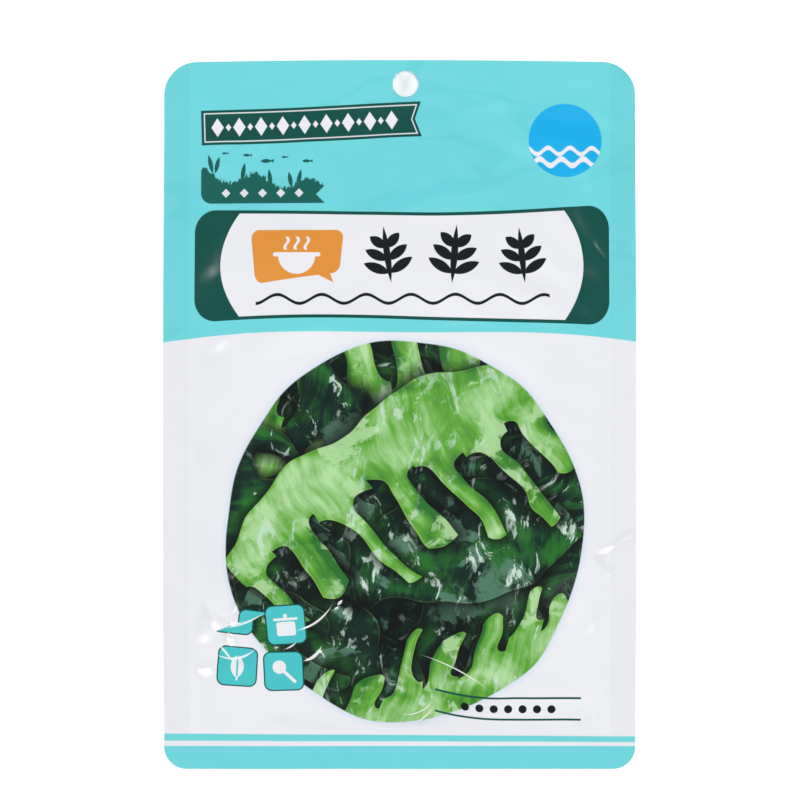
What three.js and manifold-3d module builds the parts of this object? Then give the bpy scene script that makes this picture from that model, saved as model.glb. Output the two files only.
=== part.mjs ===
// A flat food pouch of printed plastic laminate, heat sealed on all four sides, lying on its back.
// Two webs of film hold folded kelp fronds between them; the header has a round hole to hang it by.
// Units are millimetres. +Z is up, +Y points to the header, and the pouch rests on z = 0.
import * as THREE from "three";
import { mergeVertices } from "three/addons/utils/BufferGeometryUtils.js";
import Module from "manifold-3d";

const wasm = await Module();
wasm.setup();

// Flat size of the pouch and its seals
const pouchWidth = 160;
const pouchLength = 240;
const headCorner = 11;
const footCorner = 7.5;
const sideSeal = 9;
const headerSeal = 20;
const footSeal = 12.5;
const filmThickness = 0.4;
const sealGap = 0.2;

// Hang hole, punched a little off centre
const holeRadius = 4.5;
const holeDrop = 8;
const holeOffset = 2;
const holeSides = 32;
const punchLength = 30;

// How the filled pouch lies: heights of the seals, and how far each web swells from them
const sideSealHeight = 6.6;
const headerHeight = 3.2;
const footHeight = 3.6;
const headerSinkStart = 30;
const footSinkStart = 55;
const frontSwell = 10;
const backSwell = 8.4;
const swellPeakY = -24;
const swellSquareness = 2.3;
const sideSlack = 0.9;
const headerSlack = 1.25;
const footSlack = 0.85;
const waist = 0.3;

// Steps of the film's grid
const arcSteps = 5;
const alongSteps = 27;
const acrossSteps = 16;
const leastRowStep = 0.2;

// The filling: young kelp fronds, each folded once like a hairpin
const frondCount = 3;
const filmClearance = 0.5;
const frond = {
  stemEnd: -88,
  foldY: 62,
  lobePairs: 4,
  lobePhase: 0.12,
  bayShape: 0.45,
  endTaper: 0.35,
  midribHalf: 8,
  lobeHalf: 52,
  lean: 0.11,
  layerFill: 0.34,
  edgeFill: 0.23,
  alongSteps: 21,
  turnSteps: 4,
  acrossSteps: 6,
};

const halfWidth = pouchWidth / 2;
const halfLength = pouchLength / 2;
const innerX = halfWidth - sideSeal;
const innerTop = halfLength - headerSeal;
const innerFoot = -halfLength + footSeal;

const lerp = THREE.MathUtils.lerp;
const smoothstep = THREE.MathUtils.smoothstep;

// Height of the plane of the seals: level at the sides, sinking towards both ends
function sealPlane(y) {
  const toHeader = smoothstep(y, headerSinkStart, innerTop);
  const toFoot = smoothstep(-y, footSinkStart, -innerFoot);
  return sideSealHeight - (sideSealHeight - headerHeight) * toHeader - (sideSealHeight - footHeight) * toFoot;
}

// Fullness of the pouch, from 0 at the seals to 1 over the thickest part of the filling
function fullness(x, y) {
  const across = Math.max(0, 1 - Math.abs(x / innerX) ** swellSquareness);
  const reach = y > swellPeakY ? innerTop - swellPeakY : swellPeakY - innerFoot;
  const along = Math.max(0, 1 - Math.abs((y - swellPeakY) / reach) ** swellSquareness);
  const endSlack = y > swellPeakY ? headerSlack : footSlack;
  return across ** sideSlack * along ** endSlack;
}

const frontInside = (x, y) => sealPlane(y) + sealGap / 2 + frontSwell * fullness(x, y);
const frontOutside = (x, y) => frontInside(x, y) + filmThickness;
const backOutside = (x, y) =>
  Math.max(0, sealPlane(y) - sealGap / 2 - filmThickness - backSwell * fullness(x, y));
const backInside = (x, y) => backOutside(x, y) + filmThickness;

// A closed surface from two sheets of points, top over bottom, on the same rows and columns
function closedSheet(rows, columns, topPoint, bottomPoint) {
  const positions = [];
  const faces = [];
  const sheetSize = (rows + 1) * (columns + 1);
  for (const pointAt of [topPoint, bottomPoint])
    for (let r = 0; r <= rows; r++)
      for (let c = 0; c <= columns; c++) positions.push(...pointAt(r, c));
  const index = (sheet, r, c) => sheet * sheetSize + r * (columns + 1) + c;
  for (let r = 0; r < rows; r++)
    for (let c = 0; c < columns; c++) {
      const top = [index(0, r, c), index(0, r, c + 1), index(0, r + 1, c + 1), index(0, r + 1, c)];
      const bottom = [index(1, r, c), index(1, r, c + 1), index(1, r + 1, c + 1), index(1, r + 1, c)];
      faces.push(top[0], top[1], top[2], top[0], top[2], top[3]);
      faces.push(bottom[0], bottom[2], bottom[1], bottom[0], bottom[3], bottom[2]);
    }
  const rim = [];
  for (let c = 0; c < columns; c++) rim.push([0, c]);
  for (let r = 0; r < rows; r++) rim.push([r, columns]);
  for (let c = columns; c > 0; c--) rim.push([rows, c]);
  for (let r = rows; r > 0; r--) rim.push([r, 0]);
  rim.forEach(([r, c], i) => {
    const [nextR, nextC] = rim[(i + 1) % rim.length];
    const [a, b] = [index(0, r, c), index(0, nextR, nextC)];
    const [d, e] = [index(1, r, c), index(1, nextR, nextC)];
    faces.push(a, d, e, a, e, b);
  });
  const geometry = new THREE.BufferGeometry();
  geometry.setAttribute("position", new THREE.Float32BufferAttribute(positions, 3));
  geometry.setIndex(faces);
  return geometry;
}

// Rows of the pouch: close together round the corners and at the seals' inner edges
function filmRows() {
  const rows = [];
  for (let i = 0; i <= arcSteps; i++) {
    const rise = 1 - Math.sin((Math.PI / 2) * (1 - i / arcSteps));
    rows.push(footCorner * rise - halfLength, halfLength - headCorner * rise);
  }
  for (let i = 0; i <= alongSteps; i++) rows.push(lerp(innerFoot, innerTop, i / alongSteps));
  return rows.sort((a, b) => a - b).filter((y, i, all) => i === 0 || y - all[i - 1] > leastRowStep);
}

// Columns across the full width, as shares of the half width
function filmColumns() {
  const columns = [-1];
  for (let i = 0; i <= acrossSteps; i++) columns.push(lerp(-innerX, innerX, i / acrossSteps) / halfWidth);
  columns.push(1);
  return columns;
}

// Half the pouch's width at a height y: rounded at the corners, drawn in a little where it is full
function outlineHalf(y) {
  const radius = y > 0 ? headCorner : footCorner;
  const past = Math.max(0, Math.abs(y) - (halfLength - radius));
  const rounded = radius - Math.sqrt(Math.max(0, radius ** 2 - past ** 2));
  return halfWidth - rounded - waist * fullness(0, y);
}

const rowHeights = filmRows();
const columnShares = filmColumns();

// One web of film between two height functions, with the hang hole cut through it
function filmGeometry(upper, lower) {
  const at = (height) => (r, c) => {
    const y = rowHeights[r];
    return [columnShares[c] * outlineHalf(y), y, height(columnShares[c] * halfWidth, y)];
  };
  const sheet = closedSheet(rowHeights.length - 1, columnShares.length - 1, at(upper), at(lower));
  const punch = new THREE.CylinderGeometry(holeRadius, holeRadius, punchLength, holeSides);
  punch.rotateX(Math.PI / 2);
  punch.translate(holeOffset, halfLength - holeDrop, headerHeight);
  return fromSolid(solidOf(sheet).subtract(solidOf(punch)));
}

function solidOf(geometry) {
  const bare = geometry.clone();
  bare.deleteAttribute("normal");
  bare.deleteAttribute("uv");
  const merged = mergeVertices(bare, 1e-4);
  return new wasm.Manifold(
    new wasm.Mesh({
      numProp: 3,
      vertProperties: new Float32Array(merged.attributes.position.array),
      triVerts: new Uint32Array(merged.index.array),
    }),
  );
}

function fromSolid(solid) {
  const mesh = solid.getMesh();
  const geometry = new THREE.BufferGeometry();
  geometry.setAttribute("position", new THREE.BufferAttribute(mesh.vertProperties, 3));
  geometry.setIndex(new THREE.BufferAttribute(mesh.triVerts, 1));
  geometry.computeVertexNormals();
  return geometry;
}

// Half width of the blade along one leg of the frond, from 0 to 1 of the leg: deep bays between lobes
function bladeHalf(share) {
  const wave = Math.abs(Math.sin(Math.PI * (share * frond.lobePairs + frond.lobePhase)));
  const taper = 1 - frond.endTaper * Math.abs(2 * share - 1) ** 3;
  return frond.midribHalf + (frond.lobeHalf - frond.midribHalf) * wave ** frond.bayShape * taper;
}

// The frond's cross lines in order: up one leg, round the fold, and back down the other leg
function frondStations() {
  const at = (share, turn, lean) => ({
    y: lerp(frond.stemEnd, frond.foldY, share),
    width: bladeHalf(share),
    turn,
    lean,
  });
  const stations = [];
  for (let i = 0; i <= frond.alongSteps; i++) stations.push(at(i / frond.alongSteps, 0, -frond.lean));
  for (let i = 1; i < frond.turnSteps; i++) stations.push(at(1, (Math.PI * i) / frond.turnSteps, 0));
  for (let i = frond.alongSteps; i >= 0; i--) stations.push(at(i / frond.alongSteps, Math.PI, frond.lean));
  return stations;
}

// One frond: it runs along the pouch in one layer, turns, and comes back in the layer above. Its midrib
// carries pairs of blunt lobes that lean towards the tip. Every second frond is turned end for end.
function frondGeometry(which) {
  const layers = frondCount * 2;
  const flip = which % 2 === 0 ? 1 : -1;
  const middle = (2 * which + 1) / layers;
  const halfStep = 0.5 / layers;
  const centreY = (frond.stemEnd + frond.foldY) / 2;
  const stations = frondStations();
  const point = (side) => (r, c) => {
    const station = stations[r];
    const across = (2 * c) / frond.acrossSteps - 1;
    const x = across * station.width;
    const fromFold = Math.min(1, (frond.foldY - station.y) / frond.lobeHalf);
    const y = centreY + flip * (station.y + station.lean * Math.abs(x) * fromFold - centreY);
    const floor = backInside(x, y) + filmClearance;
    const room = frontInside(x, y) - filmClearance - floor;
    const thick = (side * lerp(frond.layerFill, frond.edgeFill, Math.abs(across))) / layers;
    const share = middle - Math.cos(station.turn) * (halfStep + thick);
    const bow = Math.sin(station.turn) * room * (halfStep + thick);
    return [x, y + flip * bow, floor + room * share];
  };
  const sheets = flip > 0 ? [point(-1), point(1)] : [point(1), point(-1)];
  return closedSheet(stations.length - 1, frond.acrossSteps, ...sheets);
}

const group = new THREE.Group();

function addPiece(name, geometry, material) {
  const mesh = new THREE.Mesh(geometry, material);
  mesh.name = name;
  group.add(mesh);
}

const printedFilm = new THREE.MeshStandardMaterial({ color: 0x6fd3d8, roughness: 0.3, metalness: 0 });
const plainFilm = new THREE.MeshStandardMaterial({ color: 0xe6e8ef, roughness: 0.35, metalness: 0 });
const kelp = new THREE.MeshStandardMaterial({ color: 0x2f5a26, roughness: 0.4, metalness: 0 });

addPiece("front_film", filmGeometry(frontOutside, frontInside), printedFilm);
addPiece("back_film", filmGeometry(backInside, backOutside), plainFilm);
for (let i = 0; i < frondCount; i++) addPiece(`kelp_frond_${i + 1}`, frondGeometry(i), kelp);

export default group;
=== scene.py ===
# A sealed flat food pouch of printed laminate with young kelp in it, lying on its back.
# Lengths are metres: +X is the pouch's right, +Y its header, +Z up out of the printed front.
# The prints are drawn in millimetres from the middle of the flat pouch.
import math
import time
from functools import partialmethod, reduce

import bpy
import numpy as np
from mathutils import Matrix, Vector


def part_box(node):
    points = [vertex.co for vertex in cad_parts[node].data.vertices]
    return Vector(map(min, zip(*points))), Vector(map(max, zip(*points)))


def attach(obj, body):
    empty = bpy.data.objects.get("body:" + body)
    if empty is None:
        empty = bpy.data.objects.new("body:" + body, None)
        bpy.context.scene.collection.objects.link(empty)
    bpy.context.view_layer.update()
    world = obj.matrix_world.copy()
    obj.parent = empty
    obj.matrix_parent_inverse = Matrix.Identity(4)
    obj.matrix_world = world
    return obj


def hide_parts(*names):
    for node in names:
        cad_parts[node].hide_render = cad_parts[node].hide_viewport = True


started = time.time()
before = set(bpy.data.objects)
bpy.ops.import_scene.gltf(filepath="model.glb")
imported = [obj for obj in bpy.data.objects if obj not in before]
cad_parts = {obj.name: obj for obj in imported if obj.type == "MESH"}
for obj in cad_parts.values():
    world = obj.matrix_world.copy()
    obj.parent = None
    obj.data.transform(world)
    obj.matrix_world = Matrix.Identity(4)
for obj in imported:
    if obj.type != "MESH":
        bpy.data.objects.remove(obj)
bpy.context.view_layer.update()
print("stage: frame loaded")

mm = 0.001


def report(stage):
    print(f"stage: {stage}, {time.time() - started:.1f} s")


# The pouch's form
frontLow, frontHigh = (np.array(corner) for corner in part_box("front_film"))
pouch = {
    "halfWidth": (frontHigh[0] - frontLow[0]) / 2,
    "halfLength": (frontHigh[1] - frontLow[1]) / 2,
    "headCorner": 11 * mm,
    "footCorner": 7.5 * mm,
    "sideSeal": 9 * mm,
    "headerSeal": 20 * mm,
    "footSeal": 12.5 * mm,
    "filmThickness": 0.15 * mm,
    "sealGap": 0.04 * mm,
    "holeCentre": (2 * mm, 112 * mm),
    "holeRadius": 4.5 * mm,
    "sideSealHeight": 6.6 * mm,
    "headerHeight": 3.2 * mm,
    "footHeight": 3.6 * mm,
    "headerSinkStart": 30 * mm,
    "footSinkStart": 55 * mm,
    "frontSwell": 9.9 * mm,
    "backSwell": 8.4 * mm,
    "swellPeakY": -24 * mm,
    "swellSquareness": 2.3,
    "sideSlack": 0.9,
    "headerSlack": 1.25,
    "footSlack": 0.85,
    "foldCells": 2.2,
    "headerBow": 0.9 * mm,
    "looseWithin": 11 * mm,  # how far in from the seals the wrinkles reach their full height
    "footWavesWithin": 6 * mm,
    "footWavesFrom": (45 * mm, 90 * mm),
}
grid = {
    "columns": 240,
    "rows": 360,
    "insideRatio": 3,
    "holeBlock": 4 * mm,
    "holeBlend": 7.3 * mm,
}
halfWidth, halfLength = pouch["halfWidth"], pouch["halfLength"]
innerX = halfWidth - pouch["sideSeal"]
innerTop = halfLength - pouch["headerSeal"]
innerFoot = pouch["footSeal"] - halfLength


def smoothStep(value, low, high):
    # 0 below low, 1 above high and an even S curve between
    share = np.clip((value - low) / (high - low), 0, 1)
    return share * share * (3 - 2 * share)


def discOf(u, v):
    # a square onto a disc: each coordinate times the root of one less half the other's square
    return u * np.sqrt(1 - v ** 2 / 2), v * np.sqrt(1 - u ** 2 / 2)


def flatPlan(columns, rows, withHole=True):
    # the flat pouch as an even grid; corner squares become quarter discs, the square round the hole a ring
    x, y = np.meshgrid(
        np.linspace(-halfWidth, halfWidth, columns + 1),
        np.linspace(-halfLength, halfLength, rows + 1),
    )
    radius = np.where(y > 0, pouch["headCorner"], pouch["footCorner"])
    squareX, squareY = halfWidth - radius, halfLength - radius
    u, v = np.clip((abs(x) - squareX) / radius, 0, 1), np.clip((abs(y) - squareY) / radius, 0, 1)
    corner = (u > 0) & (v > 0)
    roundU, roundV = discOf(u, v)
    x = np.where(corner, np.sign(x) * (squareX + roundU * radius), x)
    y = np.where(corner, np.sign(y) * (squareY + roundV * radius), y)
    if not withHole:
        return x, y
    dx, dy = x - pouch["holeCentre"][0], y - pouch["holeCentre"][1]
    reach = np.maximum(abs(dx), abs(dy))
    block, blend = grid["holeBlock"], grid["holeBlend"]
    ring = np.clip((blend - reach) / (blend - block), 0, 1)
    safeReach = np.maximum(reach, 1e-9)
    ringX, ringY = discOf(dx / safeReach, dy / safeReach)
    ringRadius = reach + (pouch["holeRadius"] - block) * ring
    x = x + ring * (ringX * ringRadius - dx)
    y = y + ring * (ringY * ringRadius - dy)
    return x, y


def sealPlane(y):
    # the seals lie level at the sides and sink towards both ends
    toHeader = smoothStep(y, pouch["headerSinkStart"], innerTop)
    toFoot = smoothStep(-y, pouch["footSinkStart"], -innerFoot)
    side = pouch["sideSealHeight"]
    return side - (side - pouch["headerHeight"]) * toHeader - (side - pouch["footHeight"]) * toFoot


def fullness(x, y):
    # 1 over the thickest filling and 0 at the seals, a superellipse's fall each way
    power = pouch["swellSquareness"]
    peak = pouch["swellPeakY"]
    across = np.clip(1 - abs(x / innerX) ** power, 0, None)
    reach = np.where(y > peak, innerTop - peak, peak - innerFoot)
    along = np.clip(1 - abs((y - peak) / reach) ** power, 0, None)
    slack = np.where(y > peak, pouch["headerSlack"], pouch["footSlack"])
    return across ** pouch["sideSlack"] * along ** slack


def fromSeal(x, y):
    # distance into the filled part from the nearest seal, 0 on the seals
    inward = np.minimum(innerX - abs(x), np.minimum(innerTop - y, y - innerFoot))
    return np.clip(inward, 0, None)


# Wrinkles: the two webs are simulated as cloth with their seals held and their film a little slack
cloth = {
    "columns": 96,
    "rows": 144,
    "scale": 10.0,
    "frames": 26,
    "seed": 11,
    "rough": 0.03 * mm,
    "startHeight": 0.6 * mm,
    "smoothCells": 9.0,
    "gain": 0.8,
    "cap": 1.6 * mm,
    "settings": {
        "quality": 5, "mass": 0.3, "air_damping": 3, "pin_stiffness": 50,
        "tension_stiffness": 60, "compression_stiffness": 60, "shear_stiffness": 60,
        "tension_damping": 20, "compression_damping": 20, "shear_damping": 20,
        "bending_stiffness": 28.0, "bending_damping": 2,
        "shrink_min": -0.011,  # the film's slack
        "use_pressure": True, "uniform_pressure_force": 0.3,
    },
}


def quadsOf(index):
    # the corners of every cell of a grid of vertex numbers, anticlockwise
    corners = (index[:-1, :-1], index[:-1, 1:], index[1:, 1:], index[1:, :-1])
    return np.stack(corners, -1).reshape(-1, 4)


def linked(name, data):
    # a new object in the scene
    made = bpy.data.objects.new(name, data)
    bpy.context.scene.collection.objects.link(made)
    return made


def smoothPiece(name, points, faces):
    # a mesh object, shaded smooth but for edges over 60 degrees
    mesh = bpy.data.meshes.new(name)
    mesh.from_pydata(points.tolist(), [], faces)
    mesh.shade_smooth()
    mesh.set_sharp_from_angle(angle=math.radians(60))
    return linked(name, mesh)


def simulatedWebs():
    # one pillow with shared seal vertices, grown by the slack and blown up; gives each web's heights
    x, y = flatPlan(cloth["columns"], cloth["rows"], withHole=False)
    inside = fromSeal(x, y) > 0
    frontIndex = np.arange(x.size).reshape(x.shape)
    backIndex = frontIndex.copy()
    backIndex[inside] = x.size + np.arange(inside.sum())
    rough = np.random.default_rng(cloth["seed"]).normal(0, cloth["rough"], x.shape)
    start = np.where(inside, cloth["startHeight"], 0)
    front = np.stack([x, y, start + rough], -1).reshape(-1, 3)
    back = np.stack([x, y, rough - start], -1)[inside]
    touched = inside[:-1, :-1] | inside[:-1, 1:] | inside[1:, 1:] | inside[1:, :-1]
    faces = np.concatenate([quadsOf(frontIndex), quadsOf(backIndex)[touched.reshape(-1)][:, ::-1]])
    mesh = bpy.data.meshes.new("pillow")
    mesh.from_pydata((np.concatenate([front, back]) * cloth["scale"]).tolist(), [], faces.tolist())
    pillow = linked("pillow", mesh)
    filled = pillow.vertex_groups.new(name="filled")
    filled.add(np.concatenate([frontIndex[inside], backIndex[inside]]).tolist(), 1, "REPLACE")
    held = pillow.vertex_groups.new(name="held")
    held.add(frontIndex[~inside].tolist(), 1, "REPLACE")
    modifier = pillow.modifiers.new("Cloth", "CLOTH")
    settings = modifier.settings
    for name, value in cloth["settings"].items():
        setattr(settings, name, value)
    settings.vertex_group_mass = held.name
    settings.vertex_group_pressure = filled.name
    settings.effector_weights.gravity = 0
    modifier.point_cache.frame_end = cloth["frames"]
    for step in range(1, cloth["frames"] + 1):
        bpy.context.scene.frame_set(step)
    settled = pillow.evaluated_get(bpy.context.evaluated_depsgraph_get()).data
    points = np.empty(len(settled.vertices) * 3)
    settled.vertices.foreach_get("co", points)
    heights = points.reshape(-1, 3)[:, 2] / cloth["scale"]
    bpy.context.scene.frame_set(1)
    bpy.data.objects.remove(pillow)
    bpy.data.meshes.remove(mesh)
    return heights[frontIndex], -heights[backIndex]


def blurMatrix(count, sigma):
    # Gaussian weights between the samples of a row, each line summing to 1
    gap = np.subtract.outer(np.arange(count), np.arange(count))
    weights = np.exp(-(gap / sigma) ** 2 / 2)
    return weights / weights.sum(1, keepdims=True)


def splineMatrix(fine, coarse):
    # cubic B-spline weights that carry a coarse row of samples to a fine one
    gap = abs(np.subtract.outer(np.linspace(0, coarse - 1, fine), np.arange(coarse)))
    near = 2 / 3 - gap ** 2 + gap ** 3 / 2
    far = np.clip(2 - gap, 0, None) ** 3 / 6
    weights = np.where(gap < 1, near, far)
    return weights / weights.sum(1, keepdims=True)


def blurred(values, alongRows, acrossColumns):
    # a grid blurred by so many cells each way, where 0 leaves it as it is
    rows, columns = values.shape
    if alongRows:
        values = blurMatrix(rows, alongRows) @ values
    return values @ blurMatrix(columns, acrossColumns).T if acrossColumns else values


def wrinklesOf(heights):
    # a simulated web on the fine grid without its broad swell, which is its mean along the nearest seal
    x, y = flatPlan(cloth["columns"], cloth["rows"], withHole=False)
    toSide = np.clip(innerX - abs(x), 0, None)
    toEnd = np.clip(np.minimum(innerTop - y, y - innerFoot), 0, None)
    share = toSide / (toSide + toEnd + 1e-6)
    cells = cloth["smoothCells"]
    detail = heights - blurred(heights, cells, 0) * (1 - share) - blurred(heights, 0, cells) * share
    rows, columns = heights.shape
    detail = splineMatrix(grid["rows"] + 1, rows) @ detail @ splineMatrix(grid["columns"] + 1, columns).T
    return np.clip(detail * cloth["gain"], -cloth["cap"], cloth["cap"])


# Creases and folds placed one by one, from the photograph, as pixels of its 800 x 800 frame
photo = {"middle": (399.7, 415.8), "pixelsPerMm": 2.956, "framePixels": 800}
creaseForm = {"bow": 0.06, "past": 0.08, "fade": 0.3, "crest": 0.2}
creases = [  # start, end, height and width in millimetres
    ((203, 602), (243, 640), 1.8, 1.6), ((238, 600), (226, 664), -1.4, 1.8),
    ((196, 668), (252, 655), 1.2, 1.5), ((228, 627), (272, 611), 1.3, 1.2),
    ((221, 644), (236, 660), 1.0, 1.0), ((237, 660), (257, 645), 1.0, 1.0),
    ((274, 646), (296, 639), 1.0, 1.0), ((303, 628), (342, 597), 1.5, 1.2),
    ((307, 661), (322, 645), 1.3, 1.1), ((428, 656), (484, 686), 1.2, 1.1),
    ((404, 714), (431, 703), 1.0, 1.0), ((415, 723), (432, 709), 1.0, 1.0),
    ((590, 240), (608, 262), 0.5, 1.0), ((590, 552), (640, 526), 1.2, 1.3),
    ((588, 553), (614, 577), 1.0, 1.2), ((600, 655), (605, 706), 0.6, 2.2),
    ((545, 390), (614, 350), -0.7, 4.0), ((428, 139), (492, 131), 0.3, 2.0),
    ((395, 196), (412, 182), 0.35, 2.0),
]


def atPhoto(pixel):
    # millimetres from the pouch's middle
    return (
        (pixel[0] - photo["middle"][0]) / photo["pixelsPerMm"],
        (photo["middle"][1] - pixel[1]) / photo["pixelsPerMm"],
    )


def lineOf(start, end):
    # length and direction of the line between two points
    dx, dy = end[0] - start[0], end[1] - start[1]
    length = math.hypot(dx, dy)
    return length, dx / length, dy / length


def creaseHeights(x, y):
    # each crease is a sharp crest along a bowed line: its height falls off exponentially to both sides
    past, fade = creaseForm["past"], creaseForm["fade"]
    total = np.zeros_like(x)
    for startPixel, endPixel, height, width in creases:
        startX, startY = (value * mm for value in atPhoto(startPixel))
        length, alongX, alongY = lineOf((startX, startY), [value * mm for value in atPhoto(endPixel)])
        along = ((x - startX) * alongX + (y - startY) * alongY) / length
        aside = (y - startY) * alongX - (x - startX) * alongY
        aside = aside + creaseForm["bow"] * length * (1 - (2 * along - 1) ** 2)
        window = smoothStep(along, -past, fade) * (1 - smoothStep(along, 1 - fade, 1 + past))
        width = width * mm
        fall = np.exp(-np.sqrt(aside ** 2 + (creaseForm["crest"] * width) ** 2) / width)
        total = total + height * mm * window * fall
    return total


lumps = {  # height, seed, how many waves, the shortest and the longest wave
    "kelp": (0.55 * mm, 21, 9, 22 * mm, 48 * mm),
    "seal": (0.16 * mm, 5, 6, 26 * mm, 70 * mm),
    "film": (0.05 * mm, 8, 14, 7 * mm, 16 * mm),
    "foot": (0.28 * mm, 17, 9, 13 * mm, 30 * mm),
    "quickWrinkles": (0.5 * mm, 31, 12, 14 * mm, 40 * mm),
}


def waves(x, y, kind):
    # a sum of cosines in seeded directions, wave lengths and phases
    height, seed, count, shortest, longest = lumps[kind]
    rng = np.random.default_rng(seed)
    total = np.zeros_like(x)
    for _ in range(count):
        angle = rng.uniform(0, math.pi)
        wave = 2 * math.pi / rng.uniform(shortest, longest)
        phase = rng.uniform(0, 2 * math.pi)
        total = total + np.cos((x * math.cos(angle) + y * math.sin(angle)) * wave + phase)
    return height * (total / math.sqrt(count))


def webHeights(x, y, frontDetail, backDetail):
    # outer faces of the front and back webs: seal plane, swell, kelp lumps, wrinkles and creases
    full = blurred(fullness(x, y), pouch["foldCells"], pouch["foldCells"])
    depth = fromSeal(x, y)
    inField = depth > 0
    loose = smoothStep(depth, 0, pouch["looseWithin"])
    atFoot = smoothStep(-y, *pouch["footWavesFrom"]) * smoothStep(depth, 0, pouch["footWavesWithin"])
    kelp = waves(x, y, "kelp") * loose * full ** 0.5 + waves(x, y, "foot") * atFoot
    skin = pouch["sealGap"] / 2 + pouch["filmThickness"]
    fold = creaseHeights(x, y)
    front = pouch["frontSwell"] * full + kelp + frontDetail * loose + fold * inField
    back = pouch["backSwell"] * full + backDetail * loose
    base = sealPlane(y) + waves(x, y, "seal") + fold * ~inField + waves(x, y, "film")
    top = base + skin + np.maximum(front, 0)
    bottom = base - skin - np.maximum(back, 0)
    return np.maximum(top, 2 * skin), np.maximum(bottom, 0)


def bowed(x, y):
    # the header's top edge bows up in the middle, by a parabola
    bow = pouch["headerBow"] * smoothStep(y, 0.5 * innerTop, halfLength)
    return y + bow * (1 - (x / halfWidth) ** 2)


def smallest(values, reach):
    # the lowest value within reach cells of each sample
    padded = np.pad(values, reach, mode="edge")
    rows, columns = values.shape
    shifts = [padded[r:r + rows, c:c + columns] for r in range(2 * reach + 1) for c in range(2 * reach + 1)]
    return np.min(shifts, axis=0)


def rimFaces(fineLoop, coarseLoop, ratio):
    # the rim between a fine loop and a coarse one: a fan of triangles for every coarse step
    nextCoarse = np.roll(coarseLoop, -1)
    fine = [fineLoop[k::ratio] for k in range(ratio)] + [np.roll(fineLoop, -ratio)[::ratio]]
    fans = [np.stack([coarseLoop, fine[k + 1], fine[k]], -1) for k in range(ratio)]
    return np.concatenate(fans + [np.stack([coarseLoop, nextCoarse, fine[ratio]], -1)])


def loopOf(index, low, high, left, right):
    # the grid's indices once round a rectangle of it, anticlockwise seen from above
    return np.concatenate([
        index[low, left:right], index[low:high, right],
        index[high, right:left:-1], index[high:low:-1, left],
    ])


def filmShell(name, outside, inside, plan, faceUp):
    # a closed web: the fine outer face, a coarser inner face and the rims round the outline and the hole
    ratio, rows, columns = grid["insideRatio"], grid["rows"], grid["columns"]
    outerIndex = np.arange((rows + 1) * (columns + 1)).reshape(rows + 1, -1)
    innerIndex = np.arange(inside[..., 0].size).reshape(rows // ratio + 1, -1) + outerIndex.size
    cell = 2 * halfWidth / columns
    half = round(grid["holeBlock"] / cell)
    holeColumn = round((pouch["holeCentre"][0] + halfWidth) / cell)
    holeRow = round((pouch["holeCentre"][1] + halfLength) / cell)
    holeBox = (holeRow - half, holeRow + half, holeColumn - half, holeColumn + half)
    quads, loops = [], []
    for index, scale in ((outerIndex, 1), (innerIndex, ratio)):
        whole, hole = ([value // scale for value in box] for box in ((0, rows, 0, columns), holeBox))
        keep = np.ones((rows // scale, columns // scale), bool)
        keep[hole[0]:hole[1], hole[2]:hole[3]] = False
        quads.append(quadsOf(index)[keep.reshape(-1)])
        loops.append((loopOf(index, *whole), loopOf(index, *hole)))
    quads = np.concatenate([quads[0], quads[1][:, ::-1]])
    outline, hole = (rimFaces(fine, coarse, ratio) for fine, coarse in zip(*loops))
    triangles = np.concatenate([outline, hole[:, ::-1]])
    if not faceUp:
        quads, triangles = quads[:, ::-1], triangles[:, ::-1]
    corners = np.concatenate([quads.reshape(-1), triangles.reshape(-1)])
    used, compact = np.unique(corners, return_inverse=True)
    points = np.concatenate([outside.reshape(-1, 3), inside.reshape(-1, 3)])[used]
    plan = np.concatenate([plan.reshape(-1, 2), plan[::ratio, ::ratio].reshape(-1, 2)])[used]
    quads, triangles = compact[:quads.size].reshape(-1, 4), compact[quads.size:].reshape(-1, 3)
    piece = smoothPiece(name, points, quads.tolist() + triangles.tolist())
    mesh = piece.data
    corners = np.empty(len(mesh.loops), np.int32)
    mesh.loops.foreach_get("vertex_index", corners)
    # the flat pouch's plan over one unit of UV, by its length
    uv = plan[corners] / (2 * halfLength) + 0.5
    mesh.uv_layers.new(name="plan").data.foreach_set("uv", uv.reshape(-1).astype(np.float32))
    if faceUp:
        starts = np.empty(len(mesh.polygons), np.int32)
        mesh.polygons.foreach_get("loop_start", starts)
        isField = plan[corners[starts], 1] < header["printFoot"] * mm
        mesh.polygons.foreach_set("material_index", isField.astype(np.int32))
    return piece


def makeFilms():
    # inner faces keep the film's thickness inside the outer ones, and meet in the seals but for a gap
    x, y = flatPlan(grid["columns"], grid["rows"])
    frontDetail, backDetail = (wrinklesOf(heights) for heights in simulatedWebs())
    report("film simulated")
    top, bottom = webHeights(x, y, frontDetail, backDetail)
    placeY = bowed(x, y)
    ratio = grid["insideRatio"]
    coarse = (slice(None, None, ratio), slice(None, None, ratio))
    seam = ((top + bottom) / 2)[coarse]
    underTop = smallest(top, ratio - 1)[coarse] - pouch["filmThickness"]
    overBottom = -smallest(-bottom, ratio - 1)[coarse] + pouch["filmThickness"]
    sealed = fromSeal(x, y)[coarse] <= 0
    underTop = np.where(sealed, seam + pouch["sealGap"] / 2, underTop)
    overBottom = np.where(sealed, seam - pouch["sealGap"] / 2, overBottom)
    middle = (underTop + overBottom) / 2
    underTop, overBottom = np.maximum(underTop, middle), np.minimum(overBottom, middle)
    front, back = (
        filmShell(name, np.stack([x, placeY, outside], -1),
                  np.stack([x[coarse], placeY[coarse], inside], -1), np.stack([x, y], -1), faceUp)
        for name, outside, inside, faceUp in (
            ("front_web", top, underTop, True), ("back_web", bottom, overBottom, False)))
    return front, back, overBottom, underTop


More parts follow.
